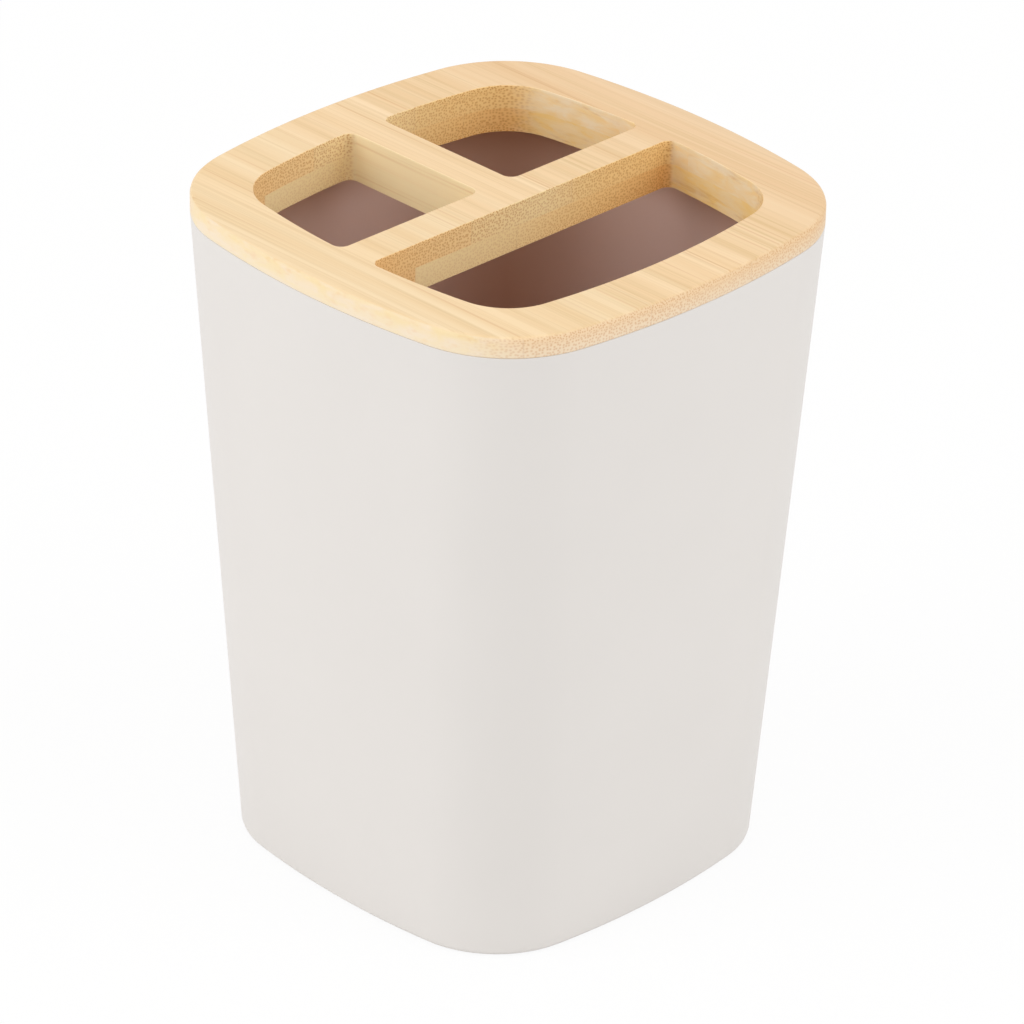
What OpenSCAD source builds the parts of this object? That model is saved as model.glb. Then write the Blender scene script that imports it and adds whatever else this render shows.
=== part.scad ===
// Toothbrush holder: a tapered cup with bowed sides and rounded corners, closed by a
// lift-off lid of two glued bamboo plies with one long opening and two short ones.
// The origin is the middle of the base, +Z is up and the long opening lies along X.

/* [Rim] */
// Half the width across the sides at the rim, the same for the cup and its lid
rim_half = 37.5; // [32:0.5:48]
// Radius of each bowed side at the rim
rim_side_r = 129; // [90:1:200]
// Radius of each corner at the rim
rim_corner_r = 17.5; // [14:0.5:22]

/* [Base] */
// Half the width across the sides at the base
base_half = 31.5; // [28:0.5:44]
// Radius of each bowed side at the base
base_side_r = 122; // [80:1:200]
// Radius of each corner at the base
base_corner_r = 15.5; // [12:0.5:20]

/* [Cup] */
// Height from the surface that the cup stands on to the top of its rim
cup_h = 97.4; // [70:0.1:140]
// Thickness of the side wall
wall = 2; // [1.4:0.1:3]
// Thickness of the floor
floor_t = 2.4; // [1.4:0.1:5]
// Rounding inside, where the floor meets the wall
floor_fillet_r = 4; // [1:0.5:8]
// Width of the ring that the cup stands on, out to the side wall
foot_w = 4; // [2:0.5:8]
// Depth of the recess inside that ring
recess_h = 1; // [0.4:0.1:3]
// Rounding of the outer bottom edge
base_edge_r = 0.8; // [0.2:0.1:2]
// Rounding of both edges of the rim
rim_edge_r = 0.2; // [0.1:0.1:0.6]

/* [Lid] */
// Thickness of each of the two plies
ply_t = 3.6; // [3.4:0.1:6]
// Thickness of the flange that rests on the rim, the rest of the lid being the plug
flange_t = 3.1; // [2:0.1:3.3]
// Gap round the plug where the mouth of the cup is narrowest
plug_gap = 0.4; // [0.3:0.1:1]
// Rounding of the flange's top edge
top_edge_r = 0.6; // [0.2:0.1:1.2]
// Rounding of the flange's bottom edge
under_edge_r = 0.2; // [0.1:0.1:0.6]

/* [Openings in the lid] */
// Width of the frame left round the openings
frame_w = 8.7; // [7:0.1:12]
// Width of the bar between the long opening and the short ones
long_bar_w = 5.9; // [3:0.1:10]
// Middle of that bar, towards +Y
long_bar_y = 0; // [-8:0.1:8]
// Width of the bar between the two short openings
cross_bar_w = 6; // [3:0.1:10]
// Middle of that bar, towards +X
cross_bar_x = 0.4; // [-8:0.1:8]
// Rounding of the corners at the bars
opening_corner_r = 1.5; // [0.5:0.1:3]

/* [Hidden] */
// How far a cut runs past the face that it opens
overrun = 1;
// Straight steps along a bowed side, a corner and a small rounding
side_steps = 6;
corner_steps = 10;
edge_steps = 3;
fillet_steps = 5;
$fn = 48;

floor_z = recess_h + floor_t;
plug_h = 2 * ply_t - flange_t;
lid_top_z = cup_h + flange_t;
ply_joint_z = lid_top_z - ply_t;
plug_z = cup_h - plug_h;

// Points of an arc, without its last one
function arc(centre, r, from, to, steps) =
    [for (i = [0:steps - 1]) let (a = from + (to - from) * i / steps) centre + r * [cos(a), sin(a)]];

// Points of an arc with both its ends
function whole_arc(centre, r, from, to, steps) =
    [for (i = [0:steps]) let (a = from + (to - from) * i / steps) centre + r * [cos(a), sin(a)]];

// The point p turned about the origin
function turned(p, a) = [p.x * cos(a) - p.y * sin(a), p.x * sin(a) + p.y * cos(a)];

// Square outline with bowed sides and round corners, each corner tangent to its two sides
function outline(half, side_r, corner_r) =
    let (
        back = side_r - half,
        reach = side_r - corner_r,
        c = (sqrt(2 * reach ^ 2 - back ^ 2) - back) / 2,
        turn = atan2(c, c + back),
        side = arc([-back, 0], side_r, -turn, turn, side_steps),
        corner = arc([c, c], corner_r, turn, 90 - turn, corner_steps)
    )
    [for (q = [0:3], p = concat(side, corner)) turned(p, 90 * q)];

function mix(low, high, share) = low + (high - low) * share;

// Outline of the cup at height z, drawn in by inset
function section(z, inset) =
    let (share = z / cup_h)
    outline(
        mix(base_half, rim_half, share) - inset,
        mix(base_side_r, rim_side_r, share) - inset,
        mix(base_corner_r, rim_corner_r, share) - inset
    );

// Outline of the rim, drawn in by inset
function rim(inset) = section(cup_h, inset);

function at_height(points, z) = [for (p = points) [p.x, p.y, z]];

// Solid between stacked rings that all have the same number of points
module loft(rings) {
    n = len(rings[0]);
    last = len(rings) - 1;
    sides = [
        for (k = [0:last - 1], i = [0:n - 1])
            let (j = (i + 1) % n, low = k * n, high = low + n)
            each [[low + i, high + i, high + j], [low + i, high + j, low + j]]
    ];
    bottom = [for (i = [0:n - 1]) i];
    top = [for (i = [0:n - 1]) last * n + n - 1 - i];
    polyhedron([for (ring = rings) each ring], concat([bottom, top], sides));
}

// The cup's wall as [inset, height], from the foot up the outside, over the rim and down the
// inside to the floor
wall_profile = concat(
    whole_arc([base_edge_r, base_edge_r], base_edge_r, 270, 180, edge_steps),
    whole_arc([rim_edge_r, cup_h - rim_edge_r], rim_edge_r, 180, 90, edge_steps),
    whole_arc([wall - rim_edge_r, cup_h - rim_edge_r], rim_edge_r, 90, 0, edge_steps),
    whole_arc([wall + floor_fillet_r, floor_z + floor_fillet_r], floor_fillet_r, 180, 270, fillet_steps)
);

// Outline of the part of the lid that sits in the cup's mouth
plug = section(plug_z, wall + plug_gap);

// The flange's edge as [inset, height]
flange_profile = concat(
    whole_arc([under_edge_r, cup_h + under_edge_r], under_edge_r, 270, 180, edge_steps),
    whole_arc([top_edge_r, lid_top_z - top_edge_r], top_edge_r, 180, 90, edge_steps)
);

// Low and high corner of the field that each opening may fill, inside the frame
slot_edge = long_bar_y - long_bar_w / 2;
short_edge = long_bar_y + long_bar_w / 2;
opening_fields = [
    [[-rim_half, -rim_half], [rim_half, slot_edge]],
    [[-rim_half, short_edge], [cross_bar_x - cross_bar_w / 2, rim_half]],
    [[cross_bar_x + cross_bar_w / 2, short_edge], [rim_half, rim_half]]
];

module opening(field)
    offset(r = opening_corner_r)
        offset(delta = -opening_corner_r)
            intersection() {
                polygon(rim(frame_w));
                translate(field[0]) square(field[1] - field[0]);
            }

module openings() for (field = opening_fields) opening(field);

module cup()
    color("#e2ddd9")
        difference() {
            loft([for (p = wall_profile) at_height(section(p[1], p[0]), p[1])]);
            translate([0, 0, -overrun])
                linear_extrude(recess_h + overrun) polygon(section(0, foot_w));
        }

module lid_top_ply()
    color("#f3d5af")
        difference() {
            loft(concat(
                [at_height(plug, ply_joint_z), at_height(plug, cup_h)],
                [for (p = flange_profile) at_height(rim(p[0]), p[1])]
            ));
            translate([0, 0, ply_joint_z - overrun])
                linear_extrude(ply_t + 2 * overrun) openings();
        }

module lid_bottom_ply()
    color("#e4c496")
        translate([0, 0, plug_z])
            linear_extrude(ply_t)
                difference() {
                    polygon(plug);
                    openings();
                }

cup();
lid_top_ply();
lid_bottom_ply();
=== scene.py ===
"""The looks of a toothbrush holder: a moulded cup with a lid of two bamboo plies.

Metres throughout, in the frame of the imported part: the origin is the middle of the base, +Z is
up, and the long opening in the lid lies along X. The bamboo's fibres run along Y.
"""

import math

import bmesh
import bpy
from mathutils import Matrix, Vector


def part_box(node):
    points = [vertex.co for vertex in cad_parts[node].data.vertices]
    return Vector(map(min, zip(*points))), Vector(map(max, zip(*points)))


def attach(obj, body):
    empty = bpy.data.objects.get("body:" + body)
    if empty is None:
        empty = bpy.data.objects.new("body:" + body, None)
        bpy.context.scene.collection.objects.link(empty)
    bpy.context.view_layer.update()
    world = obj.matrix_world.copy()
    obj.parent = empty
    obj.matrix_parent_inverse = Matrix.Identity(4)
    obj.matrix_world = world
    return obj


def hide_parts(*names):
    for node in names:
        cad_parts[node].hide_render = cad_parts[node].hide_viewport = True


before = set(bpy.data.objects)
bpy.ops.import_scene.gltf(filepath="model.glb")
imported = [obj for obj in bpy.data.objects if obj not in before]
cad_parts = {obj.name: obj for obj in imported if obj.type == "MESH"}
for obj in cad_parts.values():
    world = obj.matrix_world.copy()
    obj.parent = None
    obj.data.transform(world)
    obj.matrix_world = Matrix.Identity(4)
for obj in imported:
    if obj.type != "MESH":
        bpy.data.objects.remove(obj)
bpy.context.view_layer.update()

MM = 0.001

# Sizes that the frame gives

CUP_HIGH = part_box("cup")[1]
TOP_LOW, TOP_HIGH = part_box("lid_top_ply")
BOTTOM_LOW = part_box("lid_bottom_ply")[0]
RIM_HALF = CUP_HIGH.x
RIM_Z = CUP_HIGH.z
LID_TOP_Z = TOP_HIGH.z
JOINT_Z = TOP_LOW.z
PLUG_Z = BOTTOM_LOW.z
PLY = LID_TOP_Z - JOINT_Z

# Sizes of the cup that the frame doesn't give

RIM_SIDE_R = 129 * MM
RIM_CORNER_R = 17.5 * MM
BASE_HALF = 31.5 * MM
BASE_SIDE_R = 122 * MM
BASE_CORNER_R = 15.5 * MM
WALL = 2 * MM
RECESS = 1 * MM
FLOOR_Z = 3.4 * MM
FOOT = 4 * MM
FLOOR_FILLET_R = 4 * MM
BASE_EDGE_R = 0.8 * MM
RIM_EDGE_R = 0.2 * MM
FOOT_EDGE_R = 0.2 * MM

# Sizes of the lid that the frame doesn't give

PLUG_INSET = 2.4 * MM
FRAME_W = 8.7 * MM
LONG_BAR_W = 5.9 * MM
LONG_BAR_Y = 0 * MM
CROSS_BAR_W = 6 * MM
CROSS_BAR_X = 0.4 * MM
OPENING_CORNER_R = 1.5 * MM
FLANGE_TOP_R = 0.6 * MM
FLANGE_UNDER_R = 0.2 * MM
OPENING_EDGE_R = 0.15 * MM
PLUG_EDGE_R = 0.3 * MM

# How finely arcs and roundings are cut

SIDE_STEPS = 24
CORNER_STEPS = 28
EDGE_SEGMENTS = 3
FILLET_SEGMENTS = 8

# What counts as one point, as a sharp edge, and as too near a corner that is rounded

WELD = 0.001 * MM
SHARP = math.radians(40)
TOO_NEAR = 1.3 * OPENING_CORNER_R

# How far two loops are moved apart while the faces between them are made

BRIDGE_LIFT = 20 * MM

# The sides of the bars between the openings

SLOT_EDGE = LONG_BAR_Y - LONG_BAR_W / 2
SHORT_EDGE = LONG_BAR_Y + LONG_BAR_W / 2
LEFT_EDGE = CROSS_BAR_X - CROSS_BAR_W / 2
RIGHT_EDGE = CROSS_BAR_X + CROSS_BAR_W / 2

# The bars that end each opening: a point on the bar's side, and the direction into the bar

OPENINGS = (
    [((0, SLOT_EDGE, 0), (0, 1, 0))],
    [((0, SHORT_EDGE, 0), (0, -1, 0)), ((LEFT_EDGE, 0, 0), (1, 0, 0))],
    [((0, SHORT_EDGE, 0), (0, -1, 0)), ((RIGHT_EDGE, 0, 0), (-1, 0, 0))],
)


def mix(low, high, share):
    return low + (high - low) * share


def section(z, inset):
    """Half width, side radius and corner radius of the cup's outline at height z, drawn in."""
    share = z / RIM_Z
    return (
        mix(BASE_HALF, RIM_HALF, share) - inset,
        mix(BASE_SIDE_R, RIM_SIDE_R, share) - inset,
        mix(BASE_CORNER_R, RIM_CORNER_R, share) - inset,
    )


PLUG_OUTLINE = section(PLUG_Z, PLUG_INSET)
FLANGE_OUTLINE = section(RIM_Z, 0)
FRAME_INSIDE = section(RIM_Z, FRAME_W)


def points_of(edges):
    return list({v for e in edges for v in e.verts})


def faces_of(edges):
    return list({f for e in edges for f in e.link_faces})


def new_edges(bm, known):
    return [e for e in bm.edges if e not in known]


def add_outline(bm, sizes, z):
    """The edges of a closed outline: four bowed sides, and round corners tangent to them."""
    half, side_r, corner_r = sizes
    back = side_r - half
    reach = side_r - corner_r
    corner = (math.sqrt(2 * reach ** 2 - back ** 2) - back) / 2
    turn = math.atan2(corner, corner + back)
    arcs = (
        (Vector((-back, 0, z)), 2 * turn, SIDE_STEPS),
        (Vector((corner, corner, z)), math.pi / 2 - 2 * turn, CORNER_STEPS),
    )
    known = set(bm.edges)
    start = (side_r * math.cos(turn) - back, -side_r * math.sin(turn), z)
    end = bmesh.ops.create_vert(bm, co=start)["vert"]
    for quarter in range(4):
        for centre, angle, steps in arcs:
            spun = bmesh.ops.spin(
                bm, geom=end, cent=Matrix.Rotation(quarter * math.pi / 2, 4, "Z") @ centre,
                axis=(0, 0, 1), dvec=(0, 0, 0), angle=angle, steps=steps,
            )
            end = [v for v in spun["geom_last"] if isinstance(v, bmesh.types.BMVert)]
    bmesh.ops.remove_doubles(bm, verts=points_of(new_edges(bm, known)), dist=WELD)
    return new_edges(bm, known)


def add_opening(bm, bars, z):
    """The edges of one opening: the frame's inner outline, cut at the bars and rounded there."""
    known = set(bm.edges)
    bmesh.ops.edgeloop_fill(bm, edges=add_outline(bm, FRAME_INSIDE, z))
    for point, into_bar in bars:
        edges = new_edges(bm, known)
        bmesh.ops.bisect_plane(
            bm, geom=faces_of(edges) + edges + points_of(edges),
            plane_co=point, plane_no=into_bar, clear_outer=True,
        )
    points = points_of(new_edges(bm, known))
    corners = [v for v in points if v.calc_edge_angle() > SHARP]
    close = [v for v in points if v not in corners
             and min((v.co - c.co).length for c in corners) < TOO_NEAR]
    bmesh.ops.dissolve_verts(bm, verts=close)
    bmesh.ops.bevel(
        bm, geom=corners, offset=OPENING_CORNER_R, offset_type="OFFSET", affect="VERTICES",
        segments=FILLET_SEGMENTS, profile=0.5, material=-1,
    )
    bmesh.ops.delete(bm, geom=faces_of(new_edges(bm, known)), context="FACES_ONLY")
    return new_edges(bm, known)


def bridge(bm, first, second):
    """Faces between two loops, which are moved apart meanwhile, as flat rings go wrong otherwise."""
    lift = Vector((0, 0, BRIDGE_LIFT))
    bmesh.ops.translate(bm, verts=points_of(second), vec=lift)
    bmesh.ops.bridge_loops(bm, edges=first + second)
    bmesh.ops.translate(bm, verts=points_of(second), vec=-lift)


def round_edges(bm, edges, radius, segments=EDGE_SEGMENTS):
    bmesh.ops.bevel(
        bm, geom=edges, offset=radius, offset_type="OFFSET", affect="EDGES",
        segments=segments, profile=0.5, material=-1, clamp_overlap=True,
    )


def made_object(bm, name, material):
    """An object in the scene, made of the mesh and the material."""
    mesh = bpy.data.meshes.new(name)
    bm.to_mesh(mesh)
    bm.free()
    mesh.materials.append(material)
    made = bpy.data.objects.new(name, mesh)
    bpy.context.scene.collection.objects.link(made)
    return made


def finish_piece(bm, name, body, nodes, material):
    """Makes a shaded piece of the mesh, which stands for CAD nodes and rides on their body."""
    bmesh.ops.recalc_face_normals(bm, faces=bm.faces)
    for f in bm.faces:
        f.smooth = True
    for e in bm.edges:
        e.smooth = e.calc_face_angle() < SHARP
    piece = made_object(bm, name, material)
    weighted = piece.modifiers.new("even_shading", "WEIGHTED_NORMAL")
    weighted.keep_sharp = True
    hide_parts(*nodes)
    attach(piece, body)


def cup_piece(material):
    """One moulding: foot ring round a recess, tapered wall, rim, and a floor that is filleted."""
    bm = bmesh.new()
    recess = add_outline(bm, section(0, FOOT), RECESS)
    foot = add_outline(bm, section(0, FOOT), 0)
    base = add_outline(bm, section(0, 0), 0)
    rim = add_outline(bm, section(RIM_Z, 0), RIM_Z)
    mouth = add_outline(bm, section(RIM_Z, WALL), RIM_Z)
    floor = add_outline(bm, section(FLOOR_Z, WALL), FLOOR_Z)
    loops = (recess, foot, base, rim, mouth, floor)
    for first, second in zip(loops, loops[1:]):
        bridge(bm, first, second)
    bmesh.ops.edgeloop_fill(bm, edges=recess)
    bmesh.ops.edgeloop_fill(bm, edges=floor)
    bmesh.ops.recalc_face_normals(bm, faces=bm.faces)
    round_edges(bm, foot, FOOT_EDGE_R)
    round_edges(bm, base, BASE_EDGE_R)
    round_edges(bm, rim + mouth, RIM_EDGE_R)
    round_edges(bm, floor, FLOOR_FILLET_R, FILLET_SEGMENTS)
    finish_piece(bm, "cup_moulding", "cup", ["cup"], material)


def ply_piece(name, rings, opening_edge_r, node, material):
    """A ply with the lid's three openings through it.

    The rings go from the ply's bottom to its top, and each is an outline, its height and the radius
    that rounds it. opening_edge_r rounds the openings' upper edges. A radius of 0 leaves an edge sharp.
    """
    bm = bmesh.new()
    loops = [add_outline(bm, outline, z) for outline, z, radius in rings]
    low_z = rings[0][1]
    high_z = rings[-1][1]
    low_holes = [add_opening(bm, bars, low_z) for bars in OPENINGS]
    high_holes = [add_opening(bm, bars, high_z) for bars in OPENINGS]
    for low, high in list(zip(loops, loops[1:])) + list(zip(low_holes, high_holes)):
        bridge(bm, low, high)
    for loop, holes in ((loops[0], low_holes), (loops[-1], high_holes)):
        bmesh.ops.triangle_fill(bm, edges=loop + sum(holes, []), use_beauty=True)
    bmesh.ops.recalc_face_normals(bm, faces=bm.faces)
    radii = [radius for outline, z, radius in rings] + [opening_edge_r]
    for edges, radius in zip(loops + [sum(high_holes, [])], radii):
        if radius:
            round_edges(bm, edges, radius)
    finish_piece(bm, name, "lid", [node], material)


def lid_top_piece(material):
    """The upper ply: the top of the plug, and the flange that rests on the cup's rim."""
    rings = [
        (PLUG_OUTLINE, JOINT_Z, 0),
        (PLUG_OUTLINE, RIM_Z, 0),
        (FLANGE_OUTLINE, RIM_Z, FLANGE_UNDER_R),
        (FLANGE_OUTLINE, LID_TOP_Z, FLANGE_TOP_R),
    ]
    ply_piece("lid_top", rings, OPENING_EDGE_R, "lid_top_ply", material)


def lid_bottom_piece(material):
    """The lower ply: the rest of the plug, which hangs in the cup's mouth."""
    rings = [(PLUG_OUTLINE, PLUG_Z, PLUG_EDGE_R), (PLUG_OUTLINE, JOINT_Z, 0)]
    ply_piece("lid_bottom", rings, 0, "lid_bottom_ply", material)


def in_use(sockets, name=None):
    """The first socket that the node's settings leave in use, of that name if one is given."""
    return next(s for s in sockets if s.enabled and name in (None, s.name))


def add(tree, kind, inputs=None, **settings):
    """A shader node with its settings, and with its inputs by name or by number.

    An input is a value, an output, or a node, which stands for its first output in use.
    """
    made = tree.nodes.new(kind)
    for key, value in settings.items():
        setattr(made, key, value)
    for key, value in (inputs or {}).items():
        socket = made.inputs[key] if isinstance(key, int) else in_use(made.inputs, key)
        if isinstance(value, bpy.types.Node):
            value = in_use(value.outputs)
        if isinstance(value, bpy.types.NodeSocket):
            tree.links.new(value, socket)
        else:
            socket.default_value = value
    return made


def cleared_tree(owner):
    """The node tree of a material or a world, emptied."""
    owner.use_nodes = True
    owner.node_tree.nodes.clear()
    return owner.node_tree


def linear(code):
    """An sRGB hex colour as the linear red, green, blue and alpha that shaders read."""
    shares = [int(code[i:i + 2], 16) / 255 for i in (1, 3, 5)]
    return [s / 12.92 if s <= 0.04045 else ((s + 0.055) / 1.055) ** 2.4 for s in shares] + [1]


def plane_distance(tree, spot):
    """How far a wall's plane is from the holder's middle, less than 0 where the wall faces it."""
    sideways = add(
        tree, "ShaderNodeVectorMath", {0: spot.outputs["Object"], 1: (1, 1, 0)}, operation="MULTIPLY",
    )
    return add(
        tree, "ShaderNodeVectorMath", {0: spot.outputs["Normal"], 1: sideways}, operation="DOT_PRODUCT",
    )


# The cup's colours: the outside's own grey, and the inside's painted shade, rosy and browner where the
# lid and the walls keep light out

OUTSIDE_GREY = "#ddd9d5"
OUTSIDE_CLOUD = "#dad6d2"
INSIDE_SHADE_ROSE = "#ead0c8"
CORNER_SHADE_BROWN = "#c1967f"
UNDER_LID_SHADE_BROWN = "#b98a66"

# Where the inside's painted shade deepens: from the middle into the corners, from high to low, and under
# the lid

CORNER_FROM = 8 * MM
CORNER_FULL = 32 * MM
DEPTH_FROM_Z = 88 * MM
DEPTH_FULL_Z = 65 * MM
UNDER_LID_FROM_Z = 84 * MM
UNDER_LID_FULL_Z = 90 * MM

# The width of the outside's faint clouds, and the size of the grains that a blasted tool leaves

CLOUD_W = 18 * MM
GRAIN_W = 0.15 * MM
GRAIN_H = 0.008 * MM

# Which planes are the inner wall's, by their distance, and which normals are the floor's

INNER_WALL_PLANE = -1 * MM
FLOOR_NORMAL_Z = 0.1


def inside_mask(tree, spot):
    """1 on the cup's inner wall and its floor, but not in the recess under its base."""
    height = add(tree, "ShaderNodeSeparateXYZ", {0: spot.outputs["Object"]}).outputs["Z"]
    upward = add(tree, "ShaderNodeSeparateXYZ", {0: spot.outputs["Normal"]}).outputs["Z"]
    wall = add(
        tree, "ShaderNodeMath", {0: plane_distance(tree, spot), 1: INNER_WALL_PLANE},
        operation="LESS_THAN",
    )
    low = add(
        tree, "ShaderNodeMath", {0: height, 1: FLOOR_Z + FLOOR_FILLET_R}, operation="LESS_THAN",
    )
    floor = add(tree, "ShaderNodeMath", {0: upward, 1: low}, operation="MULTIPLY")
    floor = add(tree, "ShaderNodeMath", {0: floor, 1: FLOOR_NORMAL_Z}, operation="GREATER_THAN")
    inside = add(tree, "ShaderNodeMath", {0: wall, 1: floor}, operation="MAXIMUM")
    above_recess = add(
        tree, "ShaderNodeMath", {0: height, 1: (RECESS + FLOOR_Z) / 2}, operation="GREATER_THAN",
    )
    return add(tree, "ShaderNodeMath", {0: inside, 1: above_recess}, operation="MULTIPLY")


def inside_painted_shade(tree, place):
    """Painted shade for the inside: rosy, and browner in the corners, with depth and right under the
    lid.
    """
    height = add(tree, "ShaderNodeSeparateXYZ", {0: place}).outputs["Z"]
    from_middle = add(tree, "ShaderNodeVectorMath", {0: place}, operation="ABSOLUTE")
    from_middle = add(tree, "ShaderNodeSeparateXYZ", {0: from_middle})
    corner = add(
        tree, "ShaderNodeMath", {0: from_middle.outputs["X"], 1: from_middle.outputs["Y"]},
        operation="MINIMUM",
    )
    corner = add(
        tree, "ShaderNodeMapRange", {"Value": corner, "From Min": CORNER_FROM, "From Max": CORNER_FULL},
        interpolation_type="SMOOTHSTEP",
    )
    depth = add(
        tree, "ShaderNodeMapRange",
        {"Value": height, "From Min": DEPTH_FROM_Z, "From Max": DEPTH_FULL_Z,
         "To Min": 0.55, "To Max": 1.0},
    )
    # Painted shade: how much the corners and the depth brown the inside
    shade_share = add(tree, "ShaderNodeMath", {0: corner, 1: depth}, operation="MULTIPLY")
    colour = add(
        tree, "ShaderNodeMix", {"Factor": shade_share, "A": linear(INSIDE_SHADE_ROSE), "B": linear(CORNER_SHADE_BROWN)},
        data_type="RGBA",
    )
    # Painted shade right under the lid, where the lid keeps light out
    under_lid = add(
        tree, "ShaderNodeMapRange",
        {"Value": height, "From Min": UNDER_LID_FROM_Z, "From Max": UNDER_LID_FULL_Z, "To Max": 0.3},
        interpolation_type="SMOOTHSTEP",
    )
    return add(
        tree, "ShaderNodeMix", {"Factor": under_lid, "A": colour, "B": linear(UNDER_LID_SHADE_BROWN)},
        data_type="RGBA",
    )


def moulded_polypropylene():
    """Pale warm grey polypropylene, moulded in a finely blasted tool: matte, with a soft sheen.

    The inside is written redder than the outside, as the photo shows it: painted shade, not the
    plastic's own colour.
    """
    material = bpy.data.materials.new("moulded_polypropylene")
    tree = cleared_tree(material)
    spot = add(tree, "ShaderNodeTexCoord")
    place = spot.outputs["Object"]
    clouds = add(tree, "ShaderNodeTexNoise", {"Vector": place, "Scale": 1 / CLOUD_W, "Detail": 2.0})
    outside_colour = add(
        tree, "ShaderNodeMix", {"Factor": clouds, "A": linear(OUTSIDE_GREY), "B": linear(OUTSIDE_CLOUD)},
        data_type="RGBA",
    )
    # The inside gets painted shade in place of the outside's grey
    colour = add(
        tree, "ShaderNodeMix",
        {"Factor": inside_mask(tree, spot), "A": outside_colour, "B": inside_painted_shade(tree, place)},
        data_type="RGBA",
    )
    grains = add(tree, "ShaderNodeTexNoise", {"Vector": place, "Scale": 1 / GRAIN_W, "Detail": 1.0})
    relief = add(tree, "ShaderNodeBump", {"Height": grains, "Strength": 0.35, "Distance": GRAIN_H})
    sheen = add(tree, "ShaderNodeMapRange", {"Value": clouds, "To Min": 0.48, "To Max": 0.56})
    shader = add(
        tree, "ShaderNodeBsdfPrincipled",
        {"Base Color": colour, "Roughness": sheen, "IOR": 1.49, "Normal": relief},
    )
    add(tree, "ShaderNodeOutputMaterial", {"Surface": shader})
    return material


# The bamboo strips, which are glued side by side, and the x of one glue line in each ply

STRIP_W = 19.2 * MM
STRIP_JUMP = 47 * MM
TOP_SEAM_X = -9.8 * MM
BOTTOM_SEAM_X = -1.1 * MM
GLUE_HALF_W = 0.03 * MM
GLUE_EDGE_HALF_W = 0.15 * MM

# Sizes of the grain's patterns: across the fibres, along them, and across them through the ply

FINE_STREAK = (0.6 * MM, 70 * MM, 0.6 * MM)
BROAD_BAND = (2.8 * MM, 160 * MM, 2.8 * MM)
HAIRLINE = (0.6 * MM, 60 * MM, 0.6 * MM)
BLOTCH = (2 * MM, 5.5 * MM, 1.6 * MM)
FLECK = (1.2 * MM, 2.4 * MM, 1.2 * MM)

# How far apart the fibre rods are, sparse and crowded, and how far lines and rods lie below the wood

SPARSE_ROD_PITCH = 0.44 * MM
CROWDED_ROD_PITCH = 0.36 * MM
PIT_DEPTH = 0.01 * MM

# The planes of the openings' walls are nearer the middle than this, and the outer edge's further

ROUTED_PLANE = 8 * MM

# How much sooner a routed corner counts as cut across the fibres than the outer edge does

ROUTED_HEAD_START = 0.15

# Colours that every strip shares

BAND_TINT = "#f5ede0"
STREAK_BROWN = "#cfac70"
HAIRLINE_BROWN = "#c98f52"
SIDE_ROSE = "#efdabd"
SIDE_YELLOW = "#efd7a8"
SIDE_FLECK = "#e9be85"
SIDE_PALE = "#e9dfcb"
SIDE_LINE_BROWN = "#d8a66a"
SIDE_BLOTCH = "#ffedcd"
END_LEFT = "#efd2ac"
END_RIGHT = "#e6c394"
END_PALE = "#e1dbcc"
ROD_OUTSIDE = "#ca935e"
ROD_ROUTED = "#c07818"
GLUE_BROWN = "#8f4f33"

# The tones at x in mm: the face, a routed cut end, a routed side wall, the rods and the streaks

TOP_TONES = (
    (-37.5, "#fae2bb", "#fdd292", "#ffe4b2", 0.9, 0.8),
    (-31.0, "#f9e0b8", "#fdd292", "#ffe4b2", 0.9, 0.8),
    (-28.5, "#f7daae", "#fdd292", "#ffe4b2", 0.9, 0.8),
    (-9.9, "#f7ddb4", "#ffdda2", "#ffe4b2", 0.9, 0.7),
    (-9.7, "#f8dbb1", "#ffe2aa", "#ffeabc", 1.0, 0.9),
    (4.0, "#f9dbb1", "#ffe6b0", "#ffeabc", 0.75, 0.9),
    (9.3, "#f9dbb1", "#ffe0a5", "#ffeabc", 0.8, 0.9),
    (9.5, "#f5d6ab", "#ffdfa3", "#ffe2a6", 0.85, 1.0),
    (10.5, "#f4d5a9", "#ffde9f", "#ffe2a6", 0.85, 1.0),
    (16.0, "#f6d8ae", "#ffd996", "#ffdea1", 0.9, 0.95),
    (34.0, "#efcca1", "#fdd28a", "#ffdea1", 1.0, 0.8),
    (37.5, "#f2d6b2", "#fdd187", "#ffdea1", 1.0, 0.8),
)
BOTTOM_TONES = (
    (-37.5, "#f3d3a0", "#fdd292", "#ffe6b0", 0.9, 0.8),
    (-20.4, "#f3d3a0", "#fdd497", "#ffe6b0", 0.8, 0.8),
    (-20.2, "#f7dbaa", "#ffe8b4", "#ffeabb", 0.25, 0.8),
    (-2.0, "#f7dbaa", "#ffe3aa", "#ffecbe", 0.5, 0.8),
    (16.0, "#f3d3a0", "#fed590", "#ffdc92", 0.9, 0.8),
    (37.5, "#ebc388", "#edad60", "#ffd98a", 1.0, 0.8),
)


def tones_across(tree, across, tones):
    """The tones as ramps across the ply, one for each column after the first."""
    places, *columns = zip(*tones)
    outputs = []
    for column in columns:
        ramp = add(tree, "ShaderNodeValToRGB", {0: across})
        stops = ramp.color_ramp.elements
        stops.remove(stops[1])
        for i, (x_mm, value) in enumerate(zip(places, column)):
            at = (x_mm * MM / RIM_HALF + 1) / 2
            stop = stops[0] if i == 0 else stops.new(at)
            stop.position = at
            stop.color = linear(value) if isinstance(value, str) else [value] * 3 + [1]
        outputs.append(ramp.outputs["Color"])
    return outputs


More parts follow.
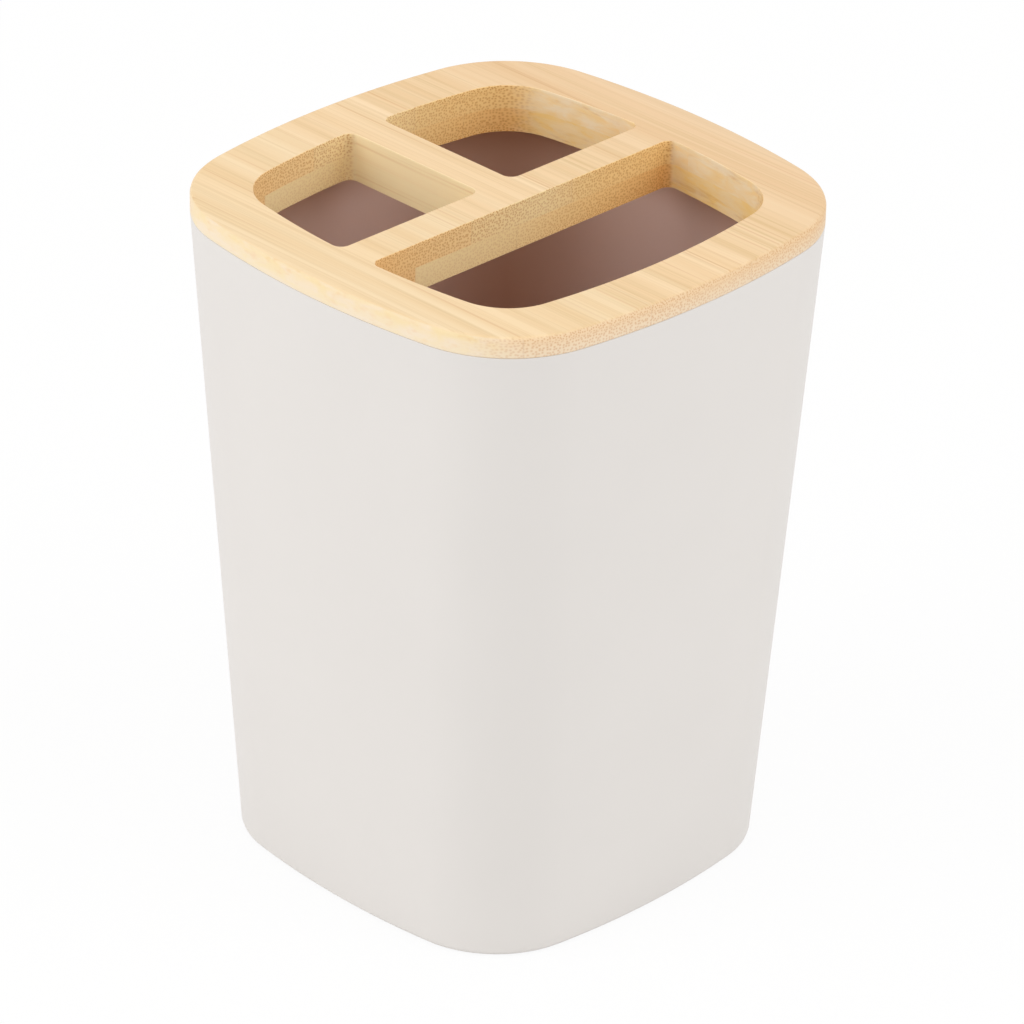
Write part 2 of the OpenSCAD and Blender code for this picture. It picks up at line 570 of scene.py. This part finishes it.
def place_in_wood(tree, place, from_seam):
    """The place in the pattern, where each strip lies apart, so that the grain ends at glue lines."""
    strip = add(tree, "ShaderNodeMath", {0: from_seam, 1: STRIP_W}, operation="DIVIDE")
    strip = add(tree, "ShaderNodeMath", {0: strip}, operation="FLOOR")
    jump = add(tree, "ShaderNodeMath", {0: strip, 1: STRIP_JUMP}, operation="MULTIPLY")
    jump = add(tree, "ShaderNodeCombineXYZ", {0: jump, 1: jump, 2: 0.0})
    return add(tree, "ShaderNodeVectorMath", {0: place, 1: jump}, operation="ADD")


def grain(tree, wood, size, detail, roughness, distortion=0.0):
    """Noise whose spots have the size, which is three lengths."""
    stretched = add(
        tree, "ShaderNodeMapping", {"Vector": wood, "Scale": [1 / length for length in size]},
    )
    return add(
        tree, "ShaderNodeTexNoise",
        {"Vector": stretched, "Scale": 1.0, "Detail": detail, "Roughness": roughness,
         "Distortion": distortion},
    )


def cut_masks(tree, spot):
    """Masks: the openings' walls were routed, end grain looks along Y, and side grain along X."""
    facing = add(tree, "ShaderNodeVectorMath", {0: spot.outputs["Normal"]}, operation="ABSOLUTE")
    facing = add(tree, "ShaderNodeSeparateXYZ", {0: facing})
    routed = add(
        tree, "ShaderNodeMath", {0: plane_distance(tree, spot), 1: ROUTED_PLANE}, operation="LESS_THAN",
    )
    cut_across = add(
        tree, "ShaderNodeMath", {0: routed, 1: ROUTED_HEAD_START, 2: facing.outputs["Y"]},
        operation="MULTIPLY_ADD",
    )
    end_grain = add(
        tree, "ShaderNodeMapRange", {"Value": cut_across, "From Min": 0.38, "From Max": 0.95},
        interpolation_type="SMOOTHSTEP",
    )
    side_grain = add(
        tree, "ShaderNodeMapRange", {"Value": facing.outputs["X"], "From Min": 0.5, "From Max": 0.7},
        interpolation_type="SMOOTHSTEP",
    )
    return routed, end_grain, side_grain


def streak_lines(tree, fine, streaks):
    """How much of the fine streaks' brown shows on a face."""
    line = add(
        tree, "ShaderNodeMapRange",
        {"Value": fine, "From Min": 0.46, "From Max": 0.72, "To Min": 0.0, "To Max": 0.5},
    )
    return add(tree, "ShaderNodeMath", {0: line, 1: streaks}, operation="MULTIPLY")


def hairlines(tree, wood, streaks):
    """How much shows of the few rods that a lengthwise face cuts along their middle."""
    stretched = add(
        tree, "ShaderNodeMapping", {"Vector": wood, "Scale": [1 / length for length in HAIRLINE]},
    )
    cells = add(
        tree, "ShaderNodeTexVoronoi", {"Vector": stretched, "Scale": 1.0, "Randomness": 0.8},
        voronoi_dimensions="3D", feature="F1",
    )
    hair = add(
        tree, "ShaderNodeMapRange",
        {"Value": cells.outputs["Distance"], "From Min": 0.12, "From Max": 0.42,
         "To Min": 1.0, "To Max": 0.0},
        interpolation_type="SMOOTHSTEP",
    )
    kind = add(tree, "ShaderNodeSeparateColor", {0: cells.outputs["Color"]})
    rare = add(
        tree, "ShaderNodeMapRange",
        {"Value": kind.outputs[0], "From Min": 0.6, "From Max": 0.8, "To Min": 0.0, "To Max": 0.35},
    )
    hair = add(tree, "ShaderNodeMath", {0: hair, 1: rare}, operation="MULTIPLY")
    return add(tree, "ShaderNodeMath", {0: hair, 1: streaks}, operation="MULTIPLY")


def sanded_face(tree, wood, face, line, hair):
    """The top and the underside: broad bands, fine streaks and a few hairlines."""
    broad = grain(tree, wood, BROAD_BAND, detail=2.0, roughness=0.5)
    band = add(tree, "ShaderNodeMapRange", {"Value": broad, "From Min": 0.3, "From Max": 0.7})
    colour = add(
        tree, "ShaderNodeMix", {"Factor": band, "A": face, "B": linear(BAND_TINT)},
        data_type="RGBA", blend_type="MULTIPLY",
    )
    colour = add(
        tree, "ShaderNodeMix", {"Factor": line, "A": colour, "B": linear(STREAK_BROWN)},
        data_type="RGBA",
    )
    return add(
        tree, "ShaderNodeMix", {"Factor": hair, "A": colour, "B": linear(HAIRLINE_BROWN)},
        data_type="RGBA",
    )


def sanded_side(tree, wood, patch, paling):
    """Side grain on the outer edge: patches of two tones, with a few soft flecks."""
    colour = add(
        tree, "ShaderNodeMix", {"Factor": patch, "A": linear(SIDE_ROSE), "B": linear(SIDE_YELLOW)},
        data_type="RGBA",
    )
    fleck = grain(tree, wood, FLECK, detail=2.0, roughness=0.6)
    fleck = add(
        tree, "ShaderNodeMapRange", {"Value": fleck, "From Min": 0.55, "From Max": 0.75, "To Max": 0.45},
    )
    colour = add(
        tree, "ShaderNodeMix", {"Factor": fleck, "A": colour, "B": linear(SIDE_FLECK)},
        data_type="RGBA",
    )
    return add(
        tree, "ShaderNodeMix", {"Factor": paling, "A": colour, "B": linear(SIDE_PALE)},
        data_type="RGBA",
    )


def routed_side(tree, x, fine, dense, side_wall, blotch):
    """Side grain in an opening: lines, clearest near the dense side, and blotches on the right."""
    lined = add(
        tree, "ShaderNodeMapRange",
        {"Value": dense, "From Min": 0.3, "From Max": 0.8, "To Min": 0.2, "To Max": 0.9},
    )
    line = add(
        tree, "ShaderNodeMapRange",
        {"Value": fine, "From Min": 0.52, "From Max": 0.68, "To Min": 0.0, "To Max": 0.55},
    )
    line = add(tree, "ShaderNodeMath", {0: line, 1: lined}, operation="MULTIPLY")
    colour = add(
        tree, "ShaderNodeMix", {"Factor": line, "A": side_wall, "B": linear(SIDE_LINE_BROWN)},
        data_type="RGBA",
    )
    on_right = add(tree, "ShaderNodeMath", {0: x, 1: RIM_HALF / 2}, operation="GREATER_THAN")
    blotch = add(tree, "ShaderNodeMath", {0: blotch, 1: on_right}, operation="MULTIPLY")
    return add(
        tree, "ShaderNodeMix", {"Factor": blotch, "A": colour, "B": linear(SIDE_BLOTCH)},
        data_type="RGBA",
    )


def rod_dots(tree, wood, dense, rods):
    """How much of the rods' brown shows on a cut end: crowded near the dense side, sparse away."""
    patterns = []
    for pitch in (SPARSE_ROD_PITCH, CROWDED_ROD_PITCH):
        turned = add(
            tree, "ShaderNodeMapping",
            {"Vector": wood, "Scale": [1 / pitch] * 3, "Rotation": (math.pi / 2, 0, 0)},
        )
        cells = add(
            tree, "ShaderNodeTexVoronoi", {"Vector": turned, "Scale": 1.0, "Randomness": 0.78},
            voronoi_dimensions="2D", feature="F1",
        )
        patterns.append(add(
            tree, "ShaderNodeMapRange",
            {"Value": cells.outputs["Distance"], "From Min": 0.0, "From Max": 0.55,
             "To Min": 1.0, "To Max": 0.0},
            interpolation_type="SMOOTHSTEP",
        ))
    crowded = add(
        tree, "ShaderNodeMapRange", {"Value": dense, "From Min": 0.55, "From Max": 0.85},
        interpolation_type="SMOOTHSTEP",
    )
    dots = add(
        tree, "ShaderNodeMix", {"Factor": crowded, "A": patterns[0], "B": patterns[1]},
        data_type="FLOAT",
    )
    browning = add(
        tree, "ShaderNodeMapRange",
        {"Value": dense, "From Min": 0.0, "From Max": 1.0, "To Min": 0.5, "To Max": 0.85},
    )
    dots = add(tree, "ShaderNodeMath", {0: dots, 1: browning}, operation="MULTIPLY")
    return add(tree, "ShaderNodeMath", {0: dots, 1: rods}, operation="MULTIPLY")


def end_colour(tree, across, routed, paling, cut_end, dots):
    """End grain: brown dots on a ground that differs between the outer edge and the openings."""
    outer = add(
        tree, "ShaderNodeMix", {"Factor": across, "A": linear(END_LEFT), "B": linear(END_RIGHT)},
        data_type="RGBA",
    )
    outer = add(
        tree, "ShaderNodeMix", {"Factor": paling, "A": outer, "B": linear(END_PALE)}, data_type="RGBA",
    )
    ground = add(
        tree, "ShaderNodeMix", {"Factor": routed, "A": outer, "B": cut_end}, data_type="RGBA",
    )
    rod = add(
        tree, "ShaderNodeMix", {"Factor": routed, "A": linear(ROD_OUTSIDE), "B": linear(ROD_ROUTED)},
        data_type="RGBA",
    )
    return add(tree, "ShaderNodeMix", {"Factor": dots, "A": ground, "B": rod}, data_type="RGBA")


def glue_lines(tree, from_seam, end_grain, dense):
    """How much of the glue's brown shows, the most on a cut end near the dense side."""
    nearest = add(tree, "ShaderNodeMath", {0: from_seam, 1: STRIP_W / 2}, operation="PINGPONG")
    line = add(
        tree, "ShaderNodeMapRange",
        {"Value": nearest, "From Min": GLUE_HALF_W, "From Max": GLUE_EDGE_HALF_W,
         "To Min": 1.0, "To Max": 0.0},
    )
    share = add(tree, "ShaderNodeMath", {0: end_grain, 1: dense}, operation="MULTIPLY")
    share = add(tree, "ShaderNodeMapRange", {"Value": share, "To Min": 0.05, "To Max": 0.15})
    return add(tree, "ShaderNodeMath", {0: line, 1: share}, operation="MULTIPLY")


def laminated_bamboo(name, seam_x, low_z, tones, rods_up, mottled):
    """A ply of bamboo strips glued side by side, then sanded: pale, streaked and nearly matte.

    Faces along the fibres show fine streaks, and cut ends show the fibre rods as brown dots. seam_x
    is where one glue line is, and low_z is the ply's underside. rods_up is 1 where the rods crowd at
    the ply's top and 0 where they crowd at its bottom. mottled is how blotched the routed side walls
    on the right are.
    """
    material = bpy.data.materials.new(name)
    tree = cleared_tree(material)
    spot = add(tree, "ShaderNodeTexCoord")
    place = spot.outputs["Object"]
    xyz = add(tree, "ShaderNodeSeparateXYZ", {0: place})
    x = xyz.outputs["X"]
    across = add(
        tree, "ShaderNodeMapRange", {"Value": x, "From Min": -RIM_HALF, "From Max": RIM_HALF},
    )
    face, cut_end, side_wall, rods, streaks = tones_across(tree, across, tones)
    from_seam = add(tree, "ShaderNodeMath", {0: x, 1: seam_x}, operation="SUBTRACT")
    wood = place_in_wood(tree, place, from_seam)
    routed, end_grain, side_grain = cut_masks(tree, spot)

    # How near the ply's dense side, away from which the outer edge gets paler

    dense = add(
        tree, "ShaderNodeMapRange",
        {"Value": xyz.outputs["Z"], "From Min": low_z, "From Max": low_z + PLY,
         "To Min": 1.0 - rods_up, "To Max": rods_up},
    )
    paling = add(
        tree, "ShaderNodeMapRange",
        {"Value": dense, "From Min": 0.15, "From Max": 0.85, "To Min": 0.45, "To Max": 0.0},
    )

    # The faces, the side grain and the end grain

    fine = grain(tree, wood, FINE_STREAK, detail=3.0, roughness=0.65)
    line = streak_lines(tree, fine, streaks)
    top_face = sanded_face(tree, wood, face, line, hairlines(tree, wood, streaks))
    patch = grain(tree, wood, BLOTCH, detail=3.0, roughness=0.6, distortion=0.6)
    patch = add(tree, "ShaderNodeMapRange", {"Value": patch, "From Min": 0.37, "From Max": 0.63})
    side_outer = sanded_side(tree, wood, patch, paling)
    blotch = add(tree, "ShaderNodeMath", {0: patch, 1: mottled}, operation="MULTIPLY")
    side_inner = routed_side(tree, x, fine, dense, side_wall, blotch)
    dots = rod_dots(tree, wood, dense, rods)
    dotted = end_colour(tree, across, routed, paling, cut_end, dots)

    # All of them together, with the glue lines

    side = add(
        tree, "ShaderNodeMix", {"Factor": routed, "A": side_outer, "B": side_inner}, data_type="RGBA",
    )
    lengthwise = add(
        tree, "ShaderNodeMix", {"Factor": side_grain, "A": top_face, "B": side}, data_type="RGBA",
    )
    colour = add(
        tree, "ShaderNodeMix", {"Factor": end_grain, "A": lengthwise, "B": dotted}, data_type="RGBA",
    )
    glue = glue_lines(tree, from_seam, end_grain, dense)
    colour = add(
        tree, "ShaderNodeMix", {"Factor": glue, "A": colour, "B": linear(GLUE_BROWN)}, data_type="RGBA",
    )
    pits = add(tree, "ShaderNodeMix", {"Factor": end_grain, "A": line, "B": dots}, data_type="FLOAT")
    relief = add(
        tree, "ShaderNodeBump", {"Height": pits, "Strength": 0.5, "Distance": PIT_DEPTH}, invert=True,
    )
    shader = add(
        tree, "ShaderNodeBsdfPrincipled", {"Base Color": colour, "Roughness": 0.55, "Normal": relief},
    )
    add(tree, "ShaderNodeOutputMaterial", {"Surface": shader})
    return material


# The stage: a sheet of paper right under the holder, an even white world and two softboxes

WHITE = "#ffffff"
PAPER_WHITE = "#faf9f8"
PAPER_HALF_W = 2.0
PAPER_DROP = 0.1 * MM
SHADOW_HIDDEN = 0.9
TENT_STRENGTH = 0.83
SOFTBOX_W = 2.2
SOFTBOX_DISTANCE = 2.6
SOFTBOX_AIM_Z = 50 * MM

# The photograph's camera: angles, distance, how far beside the holder's middle it aims, and lens

AZIMUTH = math.radians(-45.12)
ELEVATION = math.radians(28.74)
ROLL = math.radians(1.22)
DISTANCE = 0.8889
AIM_RIGHT = 1.45 * MM
AIM_UP = 0.35 * MM
FOCAL_PIXELS = 6316.1
PICTURE_PIXELS = 1024
SENSOR_MM = 36


def seen_directly(tree):
    """1 for rays that come straight from the camera, by a reflection or through something clear."""
    path = add(tree, "ShaderNodeLightPath")
    seen = add(
        tree, "ShaderNodeMath",
        {0: path.outputs["Is Camera Ray"], 1: path.outputs["Is Glossy Ray"]}, operation="MAXIMUM",
    )
    return add(
        tree, "ShaderNodeMath", {0: seen, 1: path.outputs["Is Transmission Ray"]}, operation="MAXIMUM",
    )


def white_paper():
    """Matte pale paper. The camera sees it as white, and it keeps a share of the holder's shadow."""
    material = bpy.data.materials.new("white_paper")
    tree = cleared_tree(material)
    matte = add(tree, "ShaderNodeBsdfDiffuse", {"Color": linear(PAPER_WHITE)})
    white = add(tree, "ShaderNodeEmission", {"Color": linear(WHITE), "Strength": 1.0})
    share = add(
        tree, "ShaderNodeMath", {0: seen_directly(tree), 1: SHADOW_HIDDEN}, operation="MULTIPLY",
    )
    shown = add(tree, "ShaderNodeMixShader", {0: share, 1: matte, 2: white})
    add(tree, "ShaderNodeOutputMaterial", {"Surface": shown})
    return material


def white_floor():
    """The sheet of paper, which is staging and no part of the holder."""
    bm = bmesh.new()
    bmesh.ops.create_grid(bm, x_segments=1, y_segments=1, size=PAPER_HALF_W)
    bmesh.ops.translate(bm, verts=bm.verts, vec=(0, 0, -PAPER_DROP))
    floor = made_object(bm, "floor", white_paper())


def white_tent():
    """Even light from all round, pure white where it is seen or reflected."""
    world = bpy.data.worlds.new("white_tent")
    bpy.context.scene.world = world
    tree = cleared_tree(world)
    even = add(tree, "ShaderNodeBackground", {"Color": linear(WHITE), "Strength": TENT_STRENGTH})
    white = add(tree, "ShaderNodeBackground", {"Color": linear(WHITE), "Strength": 1.0})
    shown = add(tree, "ShaderNodeMixShader", {0: seen_directly(tree), 1: even, 2: white})
    add(tree, "ShaderNodeOutputWorld", {"Surface": shown})


def soft_light(name, direction, power):
    """A round softbox that faces the holder from a direction."""
    data = bpy.data.lights.new(name, "AREA")
    data.shape = "DISK"
    data.size = SOFTBOX_W
    data.energy = power
    lamp = bpy.data.objects.new(name, data)
    toward = Vector(direction).normalized()
    lamp.location = toward * SOFTBOX_DISTANCE + Vector((0, 0, SOFTBOX_AIM_Z))
    lamp.rotation_euler = toward.to_track_quat("Z", "Y").to_euler()
    bpy.context.scene.collection.objects.link(lamp)


def camera():
    """The photograph's view, fitted to the cup's and the lid's outlines."""
    level = math.cos(ELEVATION)
    back = Vector((math.sin(AZIMUTH) * level, -math.cos(AZIMUTH) * level, math.sin(ELEVATION)))
    right = Vector((math.cos(AZIMUTH), math.sin(AZIMUTH), 0))
    up = back.cross(right)
    aim = Vector((0, 0, LID_TOP_Z / 2)) + right * AIM_RIGHT + up * AIM_UP
    turned_right = right * math.cos(ROLL) + up * math.sin(ROLL)
    turned_up = up * math.cos(ROLL) - right * math.sin(ROLL)
    data = bpy.data.cameras.new("photograph")
    data.sensor_width = SENSOR_MM
    data.lens = SENSOR_MM * FOCAL_PIXELS / PICTURE_PIXELS
    eye = bpy.data.objects.new("photograph", data)
    eye.matrix_world = Matrix((turned_right, turned_up, back)).transposed().to_4x4()
    eye.matrix_world.translation = aim + back * DISTANCE
    bpy.context.scene.collection.objects.link(eye)
    bpy.context.scene.camera = eye


camera()
white_tent()
white_floor()
soft_light("left_softbox", direction=(-0.8, 0.35, 0.45), power=19.8)
soft_light("right_softbox", direction=(0.35, -0.75, 0.5), power=15.5)
cup_piece(moulded_polypropylene())
lid_top_piece(laminated_bamboo(
    "bamboo_top_ply", TOP_SEAM_X, JOINT_Z, TOP_TONES, rods_up=1.0, mottled=0.8,
))
lid_bottom_piece(laminated_bamboo(
    "bamboo_bottom_ply", BOTTOM_SEAM_X, PLUG_Z, BOTTOM_TONES, rods_up=0.0, mottled=0.5,
))

bpy.context.scene.view_settings.view_transform = "Standard"
